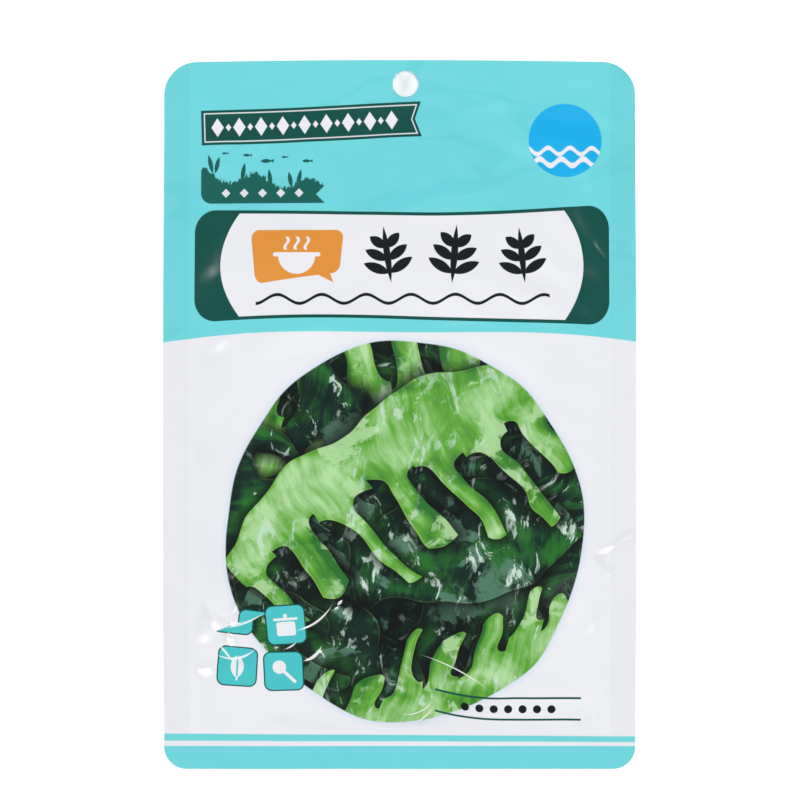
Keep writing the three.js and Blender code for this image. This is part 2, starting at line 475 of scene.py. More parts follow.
# Shader maths: a Wire is a node's output that takes part in Python expressions
class Wire:
    def __init__(self, shader, socket):
        self.shader = shader
        self.socket = socket

    def math(self, operation, *others):
        return self.shader.calc(operation, self, *others)

    __add__ = __radd__ = partialmethod(math, "ADD")
    __sub__ = partialmethod(math, "SUBTRACT")
    __mul__ = __rmul__ = partialmethod(math, "MULTIPLY")
    __truediv__ = partialmethod(math, "DIVIDE")
    __neg__ = partialmethod(math, "MULTIPLY", -1)
    __abs__ = partialmethod(math, "ABSOLUTE")
    atLeast = partialmethod(math, "MAXIMUM")
    atMost = partialmethod(math, "MINIMUM")
    sine = partialmethod(math, "SINE")

    def __rsub__(self, other):
        return self.shader.calc("SUBTRACT", other, self)

    def clamped(self):
        # held between 0 and 1
        return self.shader.calc("ADD", self, 0.0, clamp=True)


# A Shader is one material, with the method that adds all its nodes
class Shader:
    def __init__(self, name):
        self.material = bpy.data.materials.new(name)
        self.material.use_nodes = True
        self.nodes = self.material.node_tree.nodes
        self.links = self.material.node_tree.links
        self.surface = self.nodes["Principled BSDF"]

    def feed(self, node, sockets):
        pairs = sockets.items() if isinstance(sockets, dict) else enumerate(sockets)
        for key, value in pairs:
            if isinstance(value, Wire):
                self.links.new(value.socket, node.inputs[key])
            else:
                node.inputs[key].default_value = value

    def add(self, kind, settings, sockets, output=0):
        # one node: its settings or a ramp's stops first, then its sockets' values or links
        node = self.nodes.new(kind)
        for key, value in settings.items():
            if key == "stops":
                self.setStops(node.color_ramp.elements, value)
            else:
                setattr(node, key, value)
        self.feed(node, sockets)
        return Wire(self, node.outputs[output])

    def setStops(self, elements, stops):
        while len(elements) < len(stops):
            elements.new(0.5)
        for element, (position, colour) in zip(elements, stops):
            element.position = position
            element.color = colour

    def calc(self, operation, *values, clamp=False):
        return self.add("ShaderNodeMath", {"operation": operation, "use_clamp": clamp}, values)

    def mix(self, factor, first, second):
        return self.add("ShaderNodeMix", {"data_type": "RGBA"}, {0: factor, 6: first, 7: second}, 2)

    def paint(self, base, field, name, opacity=1, softness=0.18):
        # an ink over the base inside a shape, from the shape's signed distance in millimetres
        cover = within(field, softness)
        return self.mix(cover if opacity == 1 else cover * opacity, base, inks[name])

    def ramp(self, stops, factor):
        # from ink to ink along the factor
        stops = [(position, inks[name]) for position, name in stops]
        return self.add("ShaderNodeValToRGB", {"stops": stops}, [factor])

    def noise(self, vector, scale, detail=2.0, roughness=0.5, distortion=0.0, output="Fac"):
        sockets = {"Vector": vector, "Scale": scale, "Detail": detail, "Roughness": roughness,
                   "Distortion": distortion}
        return self.add("ShaderNodeTexNoise", {}, sockets, output)

    def vector(self, x, y, z=0.0):
        return self.add("ShaderNodeCombineXYZ", {}, [x, y, z])

    def split(self, vector):
        # a vector's x and y
        return [self.add("ShaderNodeSeparateXYZ", {}, [vector], axis) for axis in (0, 1)]

    def plan(self):
        # millimetres from the middle of the flat pouch
        x, y = self.split(self.add("ShaderNodeUVMap", {"uv_map": "plan"}, []))
        span = 2 * halfLength / mm
        return (x - 0.5) * span, (y - 0.5) * span


def ink(red, green, blue):
    # a colour of the photograph, 0 to 255, as the linear colour that the studio's light renders as it
    values = [value / 255 for value in (red, green, blue)]
    linear = [v / 12.92 if v < 0.04045 else ((v + 0.055) / 1.055) ** 2.4 for v in values]
    return (*(v * inkGain for v in linear), 1.0)


def within(distance, softness=0.18):
    # 1 inside a shape, 0 outside it, from its signed distance in millimetres
    return (0.5 - distance / softness).clamped()


def above(value, level, steepness):
    # 0 up to the level, then a steep ramp to 1
    return ((value - level) * steepness).clamped()


def rootOf(x, y):
    # the length of the vector x, y
    return (x * x + y * y).math("SQRT")


def union(*fields):
    # signed distance to whichever shape is nearest
    return reduce(Wire.atMost, fields)


def inCell(x, step):
    # distance from the middle of the nearest of evenly spaced cells
    return ((x / step).math("FRACT") - 0.5) * step


def boxField(x, y, centre, half, radius):
    # signed distance to a rectangle with round corners
    awayX = abs(x - centre[0]) - (half[0] - radius)
    awayY = abs(y - centre[1]) - (half[1] - radius)
    outer = rootOf(awayX.atLeast(0), awayY.atLeast(0))
    return outer + awayX.atLeast(awayY).atMost(0) - radius


def discField(x, y, centre, radius):
    # signed distance to a disc
    return rootOf(x - centre[0], y - centre[1]) - radius


def strokeField(x, y, start, end, radius):
    # signed distance to a straight stroke with round ends
    length, ux, uy = lineOf(start, end)
    dx, dy = x - start[0], y - start[1]
    along = (dx * ux + dy * uy).atLeast(0).atMost(length)
    return rootOf(dx - along * ux, dy - along * uy) - radius


def convexField(x, y, corners):
    # signed distance to the sides of a convex outline whose corners run anticlockwise
    sides = []
    for start, end in zip(corners, corners[1:] + corners[:1]):
        _, ux, uy = lineOf(start, end)
        sides.append((x - start[0]) * uy - (y - start[1]) * ux)
    return reduce(Wire.atLeast, sides)


def turned(x, y, centre, degrees):
    # coordinates about a centre, turned clockwise by the angle, so that what is drawn turns the other way
    c, s = math.cos(math.radians(degrees)), math.sin(math.radians(degrees))
    dx, dy = x - centre[0], y - centre[1]
    return dx * c + dy * s, dy * c - dx * s


inkGain = 0.66
inks = {
    "teal": ink(114, 216, 223),
    "tealShade": ink(88, 199, 208),
    "pearl": ink(236, 237, 242),
    "deepGreen": ink(8, 78, 71),
    "reefGreen": ink(20, 96, 88),
    "orange": ink(228, 148, 60),
    "blue": ink(16, 176, 236),
    "night": ink(14, 22, 24),
    "iconTeal": ink(72, 196, 200),
    "paleGlow": ink(186, 214, 238),
    "kelpNight": ink(2, 10, 10),
    "kelpDark": ink(10, 44, 34),
    "kelpMid": ink(40, 110, 42),
    "kelpBright": ink(98, 168, 56),
    "kelpPale": ink(176, 218, 158),
    "sheen": ink(84, 126, 104),
    "kelpRim": ink(176, 218, 98),
    "wet": ink(204, 228, 214),
    # white of the glint highlights painted along the film's creases
    "glint": ink(252, 254, 252),
}


# The front's print
ribbon = {
    "centre": (-30.0, 98.7), "half": (37.4, 5.9), "tilt": 1.8, "notch": 2.2, "wave": 0.35,
    "lineInset": 1.1, "lineHalf": 0.2, "step": 7.4, "rowHalf": 32.3,
}


def drawRibbon(s, x, y, base):
    # a flag with a swallow tail, waving a little, and a pearl line inside its edges
    u, v = turned(x, y, ribbon["centre"], ribbon["tilt"])
    v = v + (u * 0.06 + 2.2).sine() * ribbon["wave"]
    halfX, halfY = ribbon["half"]
    notch = ribbon["notch"] * (1 - abs(v) / halfY)
    outer = (abs(v) - halfY).atLeast(-u - halfX).atLeast(u - halfX + notch)
    base = s.paint(base, outer, "deepGreen")
    line = abs(outer + ribbon["lineInset"]) - ribbon["lineHalf"]
    base = s.paint(base, line, "pearl", opacity=0.9)
    # a row of lozenges with small ones between them
    cell = abs(inCell(u - 1.4, ribbon["step"]))
    lozenge = cell * 0.83 + abs(v) * 0.55 - 1.75
    small = (ribbon["step"] / 2 - cell) * 0.8 + abs(v) * 0.6 - 0.75
    row = union(lozenge, small).atLeast(abs(u + 2.3) - ribbon["rowHalf"])
    return s.paint(base, row, "pearl")


reef = {
    "left": -67.4, "right": -24.9, "foot": 71.8, "corner": 3.6, "top": 81.4, "hill": 2.0, "ragged": 7,
    "notch": 3.4, "notchHeight": 74.8, "dotHeight": 75.3, "dotStep": 6.2, "dotHalf": 1.5,
    "leaves": (
        ((-63.4, 82), (-64.9, 88.4)), ((-62.6, 82), (-61.2, 87.6)), ((-53.6, 79), (-52.6, 85.6)),
        ((-43.6, 77), (-44.4, 83.4)), ((-36.6, 77), (-37.6, 82.4)), ((-34.8, 77), (-33.4, 83.2))),
    "leafFatness": 0.75,
    "fish": (
        (-59.4, 88.8, 1.0), (-52.0, 88.2, 1.3), (-45.4, 86.2, 1.9), (-39.2, 87.4, 1.0), (-31.6, 86.0, 1.5)),
}


def drawReef(s, x, y, base):
    # a sea bed: two low hills with a ragged edge of weed over a band with a swallow tail, leaves and fish
    ragged = (s.noise(s.vector(x, y * 0.3), 1.1, 4.0, 0.75) - 0.42) * reef["ragged"]
    along = x - reef["left"]
    hillTop = reef["top"] - along * 0.1 + (along * 0.34).math("COSINE") * reef["hill"] + ragged
    notch = reef["notch"] * (1 - abs(y - reef["notchHeight"]) / reef["notch"])
    bed = (y - hillTop).atLeast(x - reef["right"] + notch)
    boxX, boxY = -30, 100  # a box that reaches past the bed but for its round foot corner
    rounded = boxField(x, y, (boxX, boxY), (boxX - reef["left"], boxY - reef["foot"]), reef["corner"])
    shapes = [bed.atLeast(rounded)]
    for root, tip in reef["leaves"]:
        shapes.append(leafField(x, y, root, tip, reef["leafFatness"]))
    for middle, height, half in reef["fish"]:
        shapes.append(leafField(x, y, (middle - half, height), (middle + half, height), half * 0.36))
        root, end = middle + half * 0.6, middle + half * 1.4
        tail = [(root, height), (end, height - half * 0.35), (end, height + half * 0.35)]
        shapes.append(convexField(x, y, tail))
    base = s.paint(base, union(*shapes), "reefGreen")
    dots = abs(inCell(x, reef["dotStep"])) + abs(y - reef["dotHeight"]) - reef["dotHalf"]
    return s.paint(base, dots.atLeast(abs(x + 46.5) - 15.5), "pearl", opacity=0.9)


seal = {"centre": (56.2, 93.2), "radius": 12.4, "waves": ((-3.6, 0.75), (-7.4, 0.95)), "waveHeight": 1.1}


def drawSeal(s, x, y, base):
    # a plain disc crossed by two white waves
    disc = discField(x, y, seal["centre"], seal["radius"])
    base = s.paint(base, disc, "blue")
    for level, depth in seal["waves"]:
        wave = (x * 0.85 + level).sine() * seal["waveHeight"]
        line = abs(y - seal["centre"][1] - level - wave) - depth
        base = s.paint(base, line.atLeast(disc), "pearl")
    return base


def leafField(u, v, root, tip, fatness):
    # where two equal discs overlap, from root to tip
    length, alongX, alongY = lineOf(root, tip)
    half = length / 2
    radius = (half * half + fatness * fatness) / (2 * fatness)
    aside = radius - fatness
    dx, dy = alongY * aside, -alongX * aside
    x, y = (root[0] + tip[0]) / 2, (root[1] + tip[1]) / 2
    return discField(u, v, (x + dx, y + dy), radius).atLeast(discField(u, v, (x - dx, y - dy), radius))


def drawSprig(x, y, centre, size, lean):
    # a plain sprig: a tapering stem with three pairs of leaves and one at the tip
    u, v = turned(x, y, centre, lean)
    u = abs(u)
    shapes = [leafField(u, v, (0, -size), (0, size), size * 0.12)]
    for root, reach in ((-0.66, 0.86), (-0.2, 0.74), (0.24, 0.52)):
        tip = (reach * size, (root + 0.46) * size)
        shapes.append(leafField(u, v, (0, root * size), tip, size * 0.175))
    return union(*shapes)


plate = {
    "centre": (0.75, 50.7), "half": (70.2, 18.0), "radius": 7.4, "panelHalf": (61.3, 16.9), "panelBow": 6.4,
    "sprigs": (((-4.2, 54.3), 9.6, 8), ((18.4, 54.5), 10.0, -5), ((41.2, 54.2), 9.4, 6)),
    "lineHeight": 39.3, "lineWave": 1.5, "lineHalf": 49.5, "lineWidth": 0.55,
}
bubble = {
    "centre": (-34.6, 54.6), "half": (15.8, 8.1), "radius": 3.0, "taper": 0.007, "footRise": 0.0085,
    "tail": [(-31.5, 49.5), (-22.3, 44.9), (-24.4, 50.8)],
    "bowl": (-34.7, 54.0), "bowlRadius": 6.2, "steam": (-3.4, 0, 3.4), "steamHeight": 58.2,
}


def drawPlate(s, x, y, base):
    # the plate's edges wave a little and part towards its right end
    centreX, centreY = plate["centre"]
    spread = 1 + (x + 14) * (x + 14) * 0.00002
    waved = centreY + (y - centreY + (x * 0.055 + 0.4).sine() * 0.4) / spread
    body = boxField(x, waved, plate["centre"], plate["half"], plate["radius"])
    base = s.paint(base, body, "deepGreen")
    panelX, panelY = plate["panelHalf"]
    rise = (waved - centreY) / panelY
    side = abs(x - centreX) - panelX + rise * rise * plate["panelBow"]
    base = s.paint(base, side.atLeast(abs(waved - centreY) - panelY), "pearl")
    # the bubble narrows downwards, and its foot rises to the right
    middle, bubbleTop = bubble["centre"][0], bubble["centre"][1] + bubble["half"][1]
    drop = bubbleTop - y
    sheared = (x - middle) * (1 + drop * bubble["taper"]) + middle
    levelled = bubbleTop - drop * (1 + (x - middle) * bubble["footRise"])
    speech = boxField(sheared, levelled, bubble["centre"], bubble["half"], bubble["radius"])
    speech = union(speech, convexField(x, y, bubble["tail"]))
    base = s.paint(base, speech, "orange")
    # steam over a bowl, white on the bubble
    bowlX, bowlY = bubble["bowl"]
    shapes = [
        discField(x, y, bubble["bowl"], bubble["bowlRadius"]).atLeast(y - bowlY + 0.2),
        strokeField(x, y, (bowlX - 7.3, bowlY + 0.4), (bowlX + 7.3, bowlY + 0.4), 0.7),
    ]
    for offset in bubble["steam"]:
        curl = abs(x - bowlX - offset - (y * 1.3).sine() * 0.6) - 0.5
        shapes.append(curl.atLeast(abs(y - bubble["steamHeight"]) - 2.2))
    base = s.paint(base, union(*shapes), "pearl")
    line = abs(y - plate["lineHeight"] - (x * 0.42).sine() * plate["lineWave"]) - plate["lineWidth"]
    marks = [drawSprig(x, y, *sprig) for sprig in plate["sprigs"]]
    marks.append(line.atLeast(abs(x - 1) - plate["lineHalf"]))
    return s.paint(base, union(*marks), "night")


# The round picture: a heap of kelp fronds, each worked out from a few sizes, the lowest first
frondColumns = (
    "base", "angle", "side", "length", "half", "period", "rib", "back", "slot", "lean", "curl", "bend",
    "inks", "wet", "thin", "rim",
)
fronds = [dict(zip(frondColumns, row)) for row in (
    ((-74, 20), 6, 1, 150, 46, 17, 12, 10, 0.45, -0.35, 0.010, 0.0012, "bright", 0.6, 0.6, 0.6),
    ((70, -52), 152, 1, 150, 44, 18, 10, 16, 0.45, 0.30, -0.008, -0.0024, "dark", 0.8, 0.6, 0.2),
    ((66, -2), 196, -1, 136, 34, 25, 19, 15, 0.26, 0.30, -0.006, -0.0018, "dark", 0.9, 0.9, 0.4),
    ((-64, 6), -42, 1, 118, 27, 23, 15, 12, 0.28, -0.30, 0.006, -0.0022, "dark", 0.9, 0.9, 0.4),
    ((-55, -70), 76, -1, 132, 38, 18, 9, 12, 0.62, -0.30, 0.012, 0.0030, "dark", 0.8, 0.7, 0.4),
    ((80, 58), 188, 1, 152, 54, 17, 11, 13, 0.7, 0.25, 0.005, 0.0020, "bright", 0.6, 0.8, 1),
    ((-58, -76), 4, 1, 132, 26, 15, 9, 14, 0.62, -0.28, -0.010, 0.0026, "bright", 0.6, 0.8, 1),
)]
frondInks = {  # shaded, lit, brightest and thin parts
    "dark": ("kelpNight", "kelpDark", "kelpMid", "sheen"),
    "bright": ("kelpMid", "kelpBright", "kelpPale", "kelpPale"),
}
frondShade = {"reach": 5, "depth": 0.9, "edge": 3, "rimInset": 0.3, "rimHalf": 0.08}
heap = {"warpScale": 0.03, "warpPull": 18.0, "turn": 0.9, "cell": (0.035, 0.11, 1), "streaks": 1.7}


def frondField(x, y, frond):
    # signed distance to a blade with a plain edge on one side and fingers parted by round slots on the other
    u, v = turned(x, y, frond["base"], frond["angle"])
    v = (v - u * u * frond["bend"]) * frond["side"]
    length, half, period = frond["length"], frond["half"], frond["period"]
    span = u * (2 / length) - 1
    flow = u + v * frond["lean"] + v * v * frond["curl"]
    phase = flow / period
    which = phase.math("FLOOR")
    uneven = (which * 2.4).sine()
    across = (phase.math("FRACT") - 0.5) * period
    fromFinger = abs(across)
    reach = half * (1 - span * span * span * span) * (0.86 + uneven * 0.14)
    # a slot is a round ended gap about the line where two fingers meet
    gap = (0.85 + uneven * 0.2) * (frond["slot"] * period / 2)
    past = v - frond["rib"] - uneven * 2.2
    slot = gap - rootOf(period / 2 - fromFinger, (past - gap).atMost(0))
    tip = v - reach + fromFinger * fromFinger * (1.6 / period)
    back = -v - frond["back"] * (1 - span * span)
    return tip.atLeast(slot).atLeast(back), v, flow, across * (past / 7).clamped()


def drawFrond(s, x, y, frond, base, grain, thin, patch):
    # a shadow round the frond, then its tones from noise and folds, thin parts, wet shine and a lit rim
    field, v, flow, across = frondField(x, y, frond)
    low, middle, high, thinned = (inks[name] for name in frondInks[frond["inks"]])
    shadow = (1 - field / frondShade["reach"]).clamped() * frondShade["depth"]
    base = s.mix(shadow, base, inks["kelpNight"])
    lit = across * (0.9 / frond["period"])
    crown = (1 - abs(v - 2) / frond["rib"]).clamped()
    vein = s.noise(s.vector(flow * 0.4, v * 0.06, frond["angle"]), 1.0, 4.0, 0.62)
    edge = (field / frondShade["edge"] + 1).clamped()
    tone = (grain - 0.5) * 2.2 + (vein - 0.5) * 1.1 + 0.5 + lit + crown * 0.2 - edge * edge * 0.3
    colour = s.mix((tone * 2).clamped(), low, middle)
    colour = s.mix((tone * 2 - 1).clamped(), colour, high)
    colour = s.mix(thin * frond["thin"], colour, thinned)
    colour = s.mix(patch * (tone * 1.5).clamped() * frond["wet"], colour, inks["wet"])
    line = within(abs(field + frondShade["rimInset"]) - frondShade["rimHalf"], 0.4)
    colour = s.mix(line * (0.25 + lit * 1.6).clamped() * frond["rim"], colour, inks["kelpRim"])
    return s.mix(within(field, 0.25), base, colour)


def drawHeap(s, x, y, patch):
    # wet dark leaves under the fronds: warped cells with their own tone, and patches and streaks of shine
    place = s.vector(x, y)
    warp = s.noise(place, heap["warpScale"], 1.0, output="Color")
    pull = s.add("ShaderNodeVectorMath", {"operation": "SCALE"}, {0: warp, "Scale": heap["warpPull"]})
    warped = s.add("ShaderNodeVectorMath", {"operation": "ADD"}, [place, pull])
    squeezed = s.add("ShaderNodeMapping", {"vector_type": "POINT"},
                     {"Vector": warped, "Rotation": (0, 0, heap["turn"]), "Scale": heap["cell"]})
    flat, cells = {"voronoi_dimensions": "2D"}, {"Vector": squeezed, "Scale": 1.0}
    cellTone = s.add("ShaderNodeTexVoronoi", flat, cells, "Color")
    tone = s.add("ShaderNodeSeparateColor", {}, [cellTone], 0)
    crease = s.add("ShaderNodeTexVoronoi", flat | {"feature": "DISTANCE_TO_EDGE"}, cells, "Distance")
    grain = s.noise(squeezed, 1.4, 3.0, 0.5, 0.3)
    shade = (tone * 0.6 + grain * 0.9 + crease * 0.5 - 0.55).clamped()
    colour = s.ramp([(0.0, "kelpNight"), (0.42, "kelpDark"), (0.72, "kelpMid"), (1.0, "kelpBright")], shade)
    edge = (1 - crease * 12).clamped()
    colour = s.mix(edge * edge * 0.4, colour, inks["kelpMid"])
    colour = s.mix(patch * (tone * 2).clamped() * 0.85, colour, inks["sheen"])
    streak = above(s.noise(squeezed, heap["streaks"], 3.0, 0.55), 0.6, 20)
    return s.mix(streak * (tone + 0.2).clamped() * 0.7, colour, inks["wet"])


picture = {"centre": (1.8, -38.6), "half": (60.6, 64.0), "wobble": 9, "bend": 22, "glowWidth": 3.4}


def drawPicture(s, x, y, base):
    # the heap and fronds inside a wavering oval, with a pale glow round it
    px, py = x - picture["centre"][0], y - picture["centre"][1]
    place = s.vector(px, py)
    halfX, halfY = picture["half"]
    wobble = (s.noise(place, 0.02, 1.0) - 0.5) * picture["wobble"]
    ring = (rootOf(px / halfX, py / halfY) - 1) * halfX + wobble
    glow = (1 - ring / picture["glowWidth"]).clamped()
    base = s.mix(glow * glow * 0.45, base, inks["paleGlow"])
    bends = [(s.noise(spot, 0.024, 2.0) - 0.5) * picture["bend"] for spot in (place, s.vector(px + 200, py))]
    grain = s.noise(place, 0.05, 3.0, 0.5, 0.8)
    thin = above(s.noise(s.vector(px - 60, py + 30), 0.055, 5.0, 0.62, 0.5), 0.55, 24)
    patch = above(s.noise(s.vector(px * 1.5 + 90, py * 0.7), 0.085, 5.0, 0.66, 1.2), 0.585, 26)
    colour = drawHeap(s, px, py, patch)
    for frond in fronds:
        colour = drawFrond(s, px + bends[0], py + bends[1], frond, colour, grain, thin, patch)
    return s.mix(within(ring, 0.35), base, colour)


icons = {
    "places": [(-48.0, -72.3), (-38.3, -70.2), (-54.9, -84.7), (-39.2, -86.2)],
    "turns": [-6, 5, -4, 2], "half": 6.4, "radius": 2.2, "line": 0.45,
}
# the pleat that runs over the first pictogram: it swallows a strip and sets what is below it aside
pleat = {"start": (228, 626), "end": (272, 611), "aside": (7.7, -5.6)}


def drawIcons(s, x, y, base):
    # four pictograms on round cornered squares; the pleat cuts the first one
    start, end = atPhoto(pleat["start"]), atPhoto(pleat["end"])
    _, ux, uy = lineOf(start, end)
    past = (((x - start[0]) * uy - (y - start[1]) * ux) * 8).clamped()
    for which, (place, turn) in enumerate(zip(icons["places"], icons["turns"])):
        aside = pleat["aside"] if which == 0 else (0, 0)
        u, v = turned(x + past * aside[0], y + past * aside[1], place, turn)
        body = boxField(u, v, (0, 0), (icons["half"], icons["half"]), icons["radius"])
        base = s.paint(base, body - icons["line"], "deepGreen")
        base = s.paint(base, body, "iconTeal")
        base = s.paint(base, pictogram(which, u, v), "pearl")
    return base


def pictogram(which, u, v):
    # a bowl, a lidded pot, a leaf and a spoon, each a few strokes
    if which == 0:
        return union(discField(u, v, (0, 0.4), 4.0).atLeast(v + 0.4),
                     strokeField(u, v, (-4.4, 0.2), (4.4, 0.2), 0.4),
                     strokeField(u, v, (-0.6, 1.2), (4.0, 4.2), 0.35))
    if which == 1:
        return union(boxField(u, v, (0, -1.4), (3.2, 2.4), 0.8),
                     strokeField(u, v, (-3.7, 1.9), (3.7, 1.9), 0.45),
                     discField(u, v, (0, 3), 0.7))
    if which == 2:
        leaf = discField(u, v, (-2.6, 0), 4.8).atLeast(discField(u, v, (2.6, 0), 4.8))
        return union(leaf.atLeast(0.3 - abs(u)), strokeField(u, v, (0, -4.6), (0, -3.6), 0.3))
    return union(discField(u, v, (-1.4, 1.4), 2.3), strokeField(u, v, (0, 0), (3.6, -3.6), 0.55))


header = {"edge": 24.95, "edgeRise": 3.4, "wave": 0.35, "printFoot": 29.4}
cloud = {"place": (37, -12), "scale": 0.035, "between": (0.54, 0.66), "depth": 0.55}
foot = {"tealTop": -108.45, "lineTop": -110.64, "lineFoot": -112.2, "lean": 0.006}


def drawBands(s, x, y):
    # the laminate's ground: teal header, darker in drifting patches where a noise's values fall in a band,
    # pearl field, teal foot with its pearl line
    share = abs(x / (halfWidth / mm))
    edge = header["edge"] + header["edgeRise"] * (1 - share * share * share)
    edge = edge - (x * 0.06 + 1.2).sine() * header["wave"]
    placeX, placeY = cloud["place"]
    # darker teal where the noise's values fall between two levels
    drift = s.noise(s.vector(x * 0.5 + placeX, y + placeY), cloud["scale"], 2.0, 0.4, 1.8)
    low, high = cloud["between"]
    shade = above(drift, low, 9) * ((high - drift) * 14).clamped()
    teal = s.mix(shade * cloud["depth"], inks["teal"], inks["tealShade"])
    base = s.mix(within(edge - y, 0.25), inks["pearl"], teal)
    lean = x * foot["lean"]
    base = s.paint(base, y + lean - foot["tealTop"], "teal", softness=0.25)
    line = (y + lean * 0.5 - foot["lineTop"]).atLeast(foot["lineFoot"] - y)
    return s.paint(base, line, "pearl", softness=0.25)


rules = {
    "heights": (-95.7, -103.1), "left": 11.9, "right": 61.4, "half": 0.36, "levelFrom": 36.0, "rise": 0.0058,
}
beads = {"height": -99.5, "middle": 36.5, "half": 17.2, "step": 4.9, "radius": 1.4}


def drawRules(s, x, y, base):
    # two rules, level on the right, with a parabola's rise to the left, and a row of beads between them
    middle = (rules["left"] + rules["right"]) / 2
    short = (rules["levelFrom"] - x).atLeast(0)
    levelled = y - short * short * rules["rise"]
    ends = abs(x - middle) - (rules["right"] - middle)
    for height in rules["heights"]:
        line = (abs(levelled - height) - rules["half"]).atLeast(ends)
        base = s.paint(base, line, "deepGreen")
    bead = rootOf(inCell(x, beads["step"]), levelled - beads["height"]) - beads["radius"]
    row = bead.atLeast(abs(x - beads["middle"]) - beads["half"])
    return s.paint(base, row, "night")


# painted highlights: white glint lines painted into the print along the film's sharpest creases, where they
# would catch the light, in the photograph's pixels
paintedGlints = [  # start, end, width and bow as a share of the length
    ((297, 629), (332, 604), 2.0, 0.10), ((338, 603), (343, 598), 2.6, 0.0),
    ((286, 648), (297, 641), 1.6, 0.05), ((304, 660), (322, 645), 3.2, 0.12),
    ((219, 644), (234, 662), 2.2, 0.0), ((217, 655), (256, 648), 2.4, 0.16),
    ((228, 627), (263, 613), 1.6, 0.05), ((426, 655), (485, 687), 1.1, -0.04),
    ((403, 715), (432, 702), 1.3, 0.12), ((414, 724), (433, 708), 1.3, 0.06),
]


def drawPaintedGlints(s, x, y, base):
    # painted highlights: each white glint line bows a little and thins out to both ends
    place = s.vector(x, y)
    lines = []
    for startPixel, endPixel, width, bow in paintedGlints:
        start, end = atPhoto(startPixel), atPhoto(endPixel)
        length, ux, uy = lineOf(start, end)
        middle = ((start[0] + end[0]) / 2, (start[1] + end[1]) / 2, 0)
        settings = {"Vector": place, "Location": middle, "Rotation": (0, 0, math.atan2(uy, ux)),
                    "Scale": (length / 2, 1, 1)}
        u, v = s.split(s.add("ShaderNodeMapping", {"vector_type": "TEXTURE"}, settings))
        ease = 1 - u * u
        lines.append(abs(v + ease * (bow * length)) - ease * (width / 2 / photo["pixelsPerMm"]))
    # the glint lines are painted highlights, laid over the print in white
    return s.paint(base, union(*lines), "glint", opacity=0.85, softness=0.2)


film = {
    "roughness": 0.17,
    "roughnessSpread": 0.10,
    "coat": 0.2,
    "coatRoughness": 0.06,
    "sealShade": 0.045,
    "knurlPitch": 1.1,
    "knurlHeight": 0.015,
    "grainHeight": 0.012,
}


def filmFinish(s, x, y, colour):
    # a satin laminate: uneven gloss, faint orange peel, and a knurl pressed into the side and foot seals
    place = s.vector(x, y)
    uneven = s.noise(place, 0.09, 3.0)
    peel = s.noise(place, 0.9, 2.0)
    sealed = (abs(x) - innerX / mm).clamped().atLeast((innerFoot / mm - y).clamped())
    turn = 2 * math.pi / film["knurlPitch"]
    knurl = ((x + y) * (turn * 0.7071)).sine() * ((x - y) * (turn * 0.7071)).sine()
    colour = s.mix(sealed * film["sealShade"], colour, (0, 0, 0, 1))
    height = knurl * sealed * film["knurlHeight"] + peel * film["grainHeight"]
    bump = s.add("ShaderNodeBump", {}, {"Strength": 1.0, "Distance": mm, "Height": height}, "Normal")
    s.feed(s.surface, {
        "Base Color": colour,
        "Roughness": film["roughness"] + uneven * film["roughnessSpread"],
        "Normal": bump,
        "Coat Weight": film["coat"],
        "Coat Roughness": film["coatRoughness"],
    })
    return s.material


def frontMaterials():
    # the header's print and the field's print, split where the ground is plain
    made = []
    parts = {
        "header": (drawRibbon, drawReef, drawSeal, drawPlate),
        # the field's last draw paints white glint highlights along the sharp creases
        "field": (drawPicture, drawIcons, drawRules, drawPaintedGlints),
    }
    for name, draws in parts.items():
        s = Shader("printed_laminate_" + name)
        x, y = s.plan()
        colour = drawBands(s, x, y)
        for draw in draws:
            colour = draw(s, x, y, colour)
        made.append(filmFinish(s, x, y, colour))
    return made


# The back's print: the same bands and an empty ruled panel
backPanel = {
    "centre": (0, -38), "half": (62, 52), "radius": 5, "line": 0.5,
    "rowStep": 11.5, "rowHalf": 0.2, "margin": 4,
    "sprigs": (((-14, 62), 12, 10), ((14, 62), 12, -10)),
}


def backMaterial():
    # the panel's rules stand at even steps, and two sprigs above it
    s = Shader("printed_laminate_back")
    x, y = s.plan()
    colour = drawBands(s, x, y)
    panel = boxField(x, y, backPanel["centre"], backPanel["half"], backPanel["radius"])
    colour = s.paint(colour, abs(panel) - backPanel["line"], "deepGreen")
    row = abs(inCell(y - backPanel["centre"][1], backPanel["rowStep"])) - backPanel["rowHalf"]
    colour = s.paint(colour, row.atLeast(panel + backPanel["margin"]), "deepGreen", opacity=0.6)
    marks = union(*(drawSprig(x, y, *sprig) for sprig in backPanel["sprigs"]))
    colour = s.paint(colour, marks, "deepGreen")
    return [filmFinish(s, x, y, colour)]


# The filling: young kelp fronds, each folded once like a hairpin, in the room between the webs
filling = {
    "count": 3,
    "stemEnd": -88 * mm,
    "foldY": 62 * mm,
    "lobePairs": 4,
    "lobePhase": 0.12,
    "bayShape": 0.45,
    "endTaper": 0.35,
    "midribHalf": 8 * mm,
    "lobeHalf": 52 * mm,
    "lean": 0.11,
    "ruffle": 0.05,
    "ruffleWaves": (61, 3, 2),  # along the leg, across it, and from frond to frond
    "layerFill": 0.3,
    "edgeFill": 0.12,
    "fillPower": 0.7,
    "clearance": 0.35 * mm,
    "alongSteps": 72,
    "turnSteps": 8,
    "acrossSteps": 20,
}


def bladeHalf(share):
    # half width of a leg: deep bays between blunt lobes
    wave = abs(np.sin(math.pi * (share * filling["lobePairs"] + filling["lobePhase"])))
    taper = 1 - filling["endTaper"] * abs(2 * share - 1) ** 3
    lobe = filling["lobeHalf"] - filling["midribHalf"]
    return filling["midribHalf"] + lobe * wave ** filling["bayShape"] * taper


